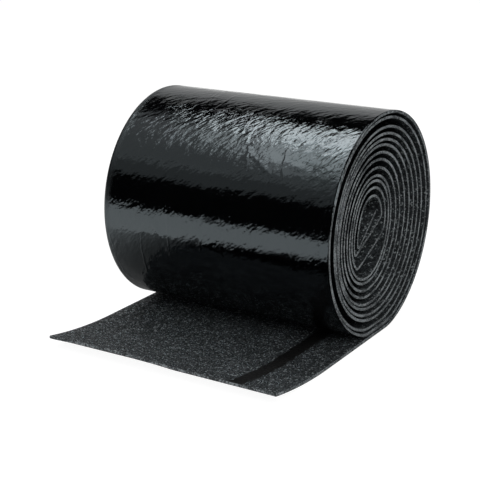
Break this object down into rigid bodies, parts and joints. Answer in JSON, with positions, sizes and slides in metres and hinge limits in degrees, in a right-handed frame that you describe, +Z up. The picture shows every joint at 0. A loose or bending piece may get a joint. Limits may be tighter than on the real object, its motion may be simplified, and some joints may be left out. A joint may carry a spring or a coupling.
{
  "type": "roll of starter shingle",
  "caption": "Wound strip of granule-faced asphalt sheet with a glossy release film on its back, its loose end lying flat and its eye open.",
  "frame": {"origin": "on the floor, straight under the middle of the roll, where the winding leaves the flat loose end", "axes": "+X along the roll's axis, towards the sheet's sealant edge; the loose end runs out towards -Y; +Z is up"},
  "size_m": [0.229, 0.2847, 0.2014],
  "materials": {
    "granule_sheet": "matt asphalt surfaced with dark mineral granules",
    "release_film": "glossy, slightly creased film",
    "sealant": "satin asphalt sealant"
  },
  "bodies": {
    "root": {"shingle_sheet": "granule_sheet", "release_film": "release_film", "sealant_line": "sealant"}
  },
  "joints": []
}
